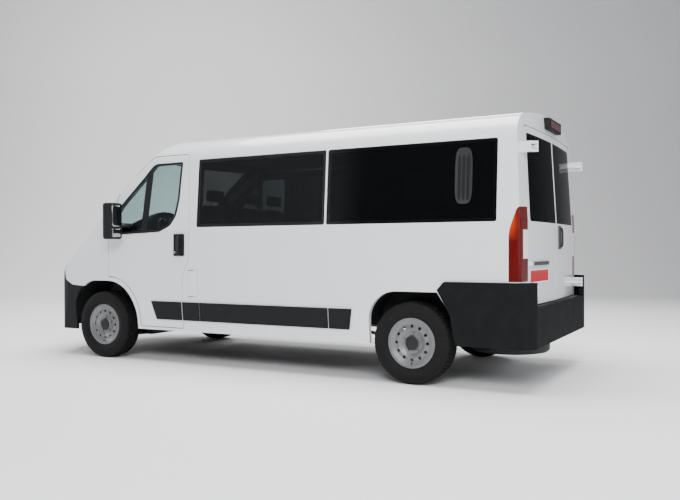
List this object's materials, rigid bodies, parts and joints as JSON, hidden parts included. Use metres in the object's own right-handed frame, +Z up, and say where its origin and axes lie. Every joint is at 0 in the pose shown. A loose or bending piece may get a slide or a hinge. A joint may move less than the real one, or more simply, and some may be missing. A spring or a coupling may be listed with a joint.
{
  "type": "minibus",
  "caption": "Low-roof long-wheelbase minibus with glazed sides, sliding side door, twin rear doors and steel wheels",
  "frame": {"origin": "on the ground, midway along the length and the width", "axes": "+X points to the nose, +Y to the vehicle's left, +Z up"},
  "size_m": [5.413, 2.494, 2.254],
  "materials": {
    "body_paint": "gloss",
    "trim_plastic": "textured",
    "tinted_glass": "gloss",
    "clear_glass": "gloss",
    "lamp_clear": "gloss",
    "lamp_red": "gloss",
    "chassis_steel": "satin",
    "engine_iron": "satin",
    "seat_cloth": "matte",
    "wheel_steel": "satin",
    "tyre_rubber": "matte"
  },
  "bodies": {
    "body": {"floor_pan": "chassis_steel", "side_panel_left": "body_paint", "side_panel_right": "body_paint", "sliding_door": "body_paint", "side_glass": "tinted_glass", "roof_panel": "body_paint", "cab_frame": "body_paint", "windscreen": "clear_glass", "scuttle": "trim_plastic", "front_wings": "body_paint", "headlamps": "lamp_clear", "front_bumper": "trim_plastic", "grille": "trim_plastic", "tail_lamps": "lamp_red", "rear_bumper": "trim_plastic", "brake_lamp": "trim_plastic", "side_mouldings": "trim_plastic", "rear_hinge_brackets": "body_paint", "arch_liners": "trim_plastic", "front_subframe": "chassis_steel", "rear_axle": "chassis_steel", "engine_block": "engine_iron", "fuel_tank": "trim_plastic", "exhaust": "chassis_steel", "spare_wheel": "wheel_steel", "seats_front": "seat_cloth", "seats_rear": "seat_cloth", "dashboard": "trim_plastic", "steering_wheel": "trim_plastic"},
    "bonnet": {"bonnet": "body_paint"},
    "cab_door_left": {"cab_door_left": "body_paint", "cab_glass_left": "clear_glass", "cab_fittings_left": "trim_plastic"},
    "cab_door_right": {"cab_door_right": "body_paint", "cab_glass_right": "clear_glass", "cab_fittings_right": "trim_plastic"},
    "rear_door_left": {"rear_door_left": "body_paint", "rear_glass_left": "tinted_glass", "rear_fittings_left": "trim_plastic"},
    "rear_door_right": {"rear_door_right": "body_paint", "rear_glass_right": "tinted_glass", "rear_fittings_right": "trim_plastic"},
    "knuckle_left": {"knuckle_left": "chassis_steel"},
    "knuckle_right": {"knuckle_right": "chassis_steel"},
    "wheel_front_left": {"rim_front_left": "wheel_steel", "tyre_front_left": "tyre_rubber"},
    "wheel_front_right": {"rim_front_right": "wheel_steel", "tyre_front_right": "tyre_rubber"},
    "wheel_rear_left": {"rim_rear_left": "wheel_steel", "tyre_rear_left": "tyre_rubber"},
    "wheel_rear_right": {"rim_rear_right": "wheel_steel", "tyre_rear_right": "tyre_rubber"}
  },
  "joints": [
    {"name": "steer_left", "type": "hinge", "parent": "body", "child": "knuckle_left", "pos_m": [1.7585, 0.815, 0.235], "axis": [0, -0.2079, 0.9781], "range_deg": [-34, 34]},
    {"name": "steer_right", "type": "hinge", "parent": "body", "child": "knuckle_right", "pos_m": [1.7585, -0.815, 0.235], "axis": [0, 0.2079, 0.9781], "range_deg": [-34, 34]},
    {"name": "wheel_front_left_spin", "type": "hinge", "parent": "knuckle_left", "child": "wheel_front_left", "pos_m": [1.7585, 0.905, 0.341], "axis": [0, 1, 0], "continuous": true},
    {"name": "wheel_front_right_spin", "type": "hinge", "parent": "knuckle_right", "child": "wheel_front_right", "pos_m": [1.7585, -0.905, 0.341], "axis": [0, 1, 0], "continuous": true},
    {"name": "wheel_rear_left_spin", "type": "hinge", "parent": "body", "child": "wheel_rear_left", "pos_m": [-1.6915, 0.895, 0.341], "axis": [0, 1, 0], "continuous": true},
    {"name": "wheel_rear_right_spin", "type": "hinge", "parent": "body", "child": "wheel_rear_right", "pos_m": [-1.6915, -0.895, 0.341], "axis": [0, 1, 0], "continuous": true},
    {"name": "cab_door_left_hinge", "type": "hinge", "parent": "body", "child": "cab_door_left", "pos_m": [1.636, 0.994, 1.04], "axis": [0, 0, -1], "range_deg": [0, 68]},
    {"name": "cab_door_right_hinge", "type": "hinge", "parent": "body", "child": "cab_door_right", "pos_m": [1.636, -0.994, 1.04], "axis": [0, 0, 1], "range_deg": [0, 68]},
    {"name": "rear_door_left_hinge", "type": "hinge", "parent": "body", "child": "rear_door_left", "pos_m": [-2.69, 0.845, 1.3], "axis": [0, 0, -1], "range_deg": [0, 180]},
    {"name": "rear_door_right_hinge", "type": "hinge", "parent": "body", "child": "rear_door_right", "pos_m": [-2.69, -0.845, 1.3], "axis": [0, 0, 1], "range_deg": [0, 180]},
    {"name": "bonnet_hinge", "type": "hinge", "parent": "body", "child": "bonnet", "pos_m": [2.03, 0, 1.246], "axis": [0, -1, 0], "range_deg": [0, 50]}
  ],
  "couplings": [
    {"joint": "steer_right", "follows": "steer_left", "ratio": 1}
  ]
}
